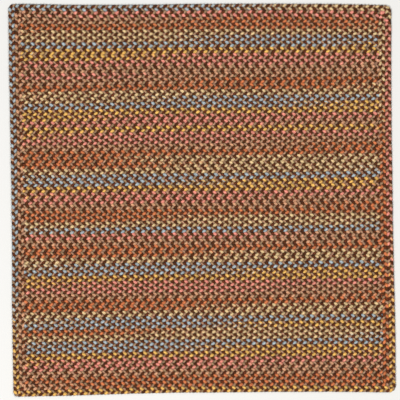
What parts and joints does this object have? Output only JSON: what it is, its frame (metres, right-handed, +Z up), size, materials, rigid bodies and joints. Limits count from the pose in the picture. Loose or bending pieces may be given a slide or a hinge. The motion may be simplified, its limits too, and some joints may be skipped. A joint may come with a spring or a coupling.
{
  "type": "braided rug",
  "caption": "Nearly square flat braided rug: straight rows of flat braid sewn side by side, inside a border braid that spirals round them.",
  "frame": {"origin": "on the surface that the rug lies on, under the middle of its bounding box", "axes": "+X along the field's braid rows, to the picture's right; +Y across the rows, towards the picture's top; +Z up"},
  "size_m": [0.9252, 0.9384, 0.0095],
  "materials": {
    "dyed_yarn": "soft, fuzzy yarn, space-dyed in long runs of olive cream, grey blue, gold, rose, tan and terracotta",
    "brown_yarn": "soft, fuzzy yarn, dark brown flecked with burgundy and green-black",
    "taupe_yarn": "soft, fuzzy yarn, heathered taupe"
  },
  "bodies": {
    "root": {"field_rows": "dyed_yarn", "border_braid": "brown_yarn"}
  },
  "joints": []
}
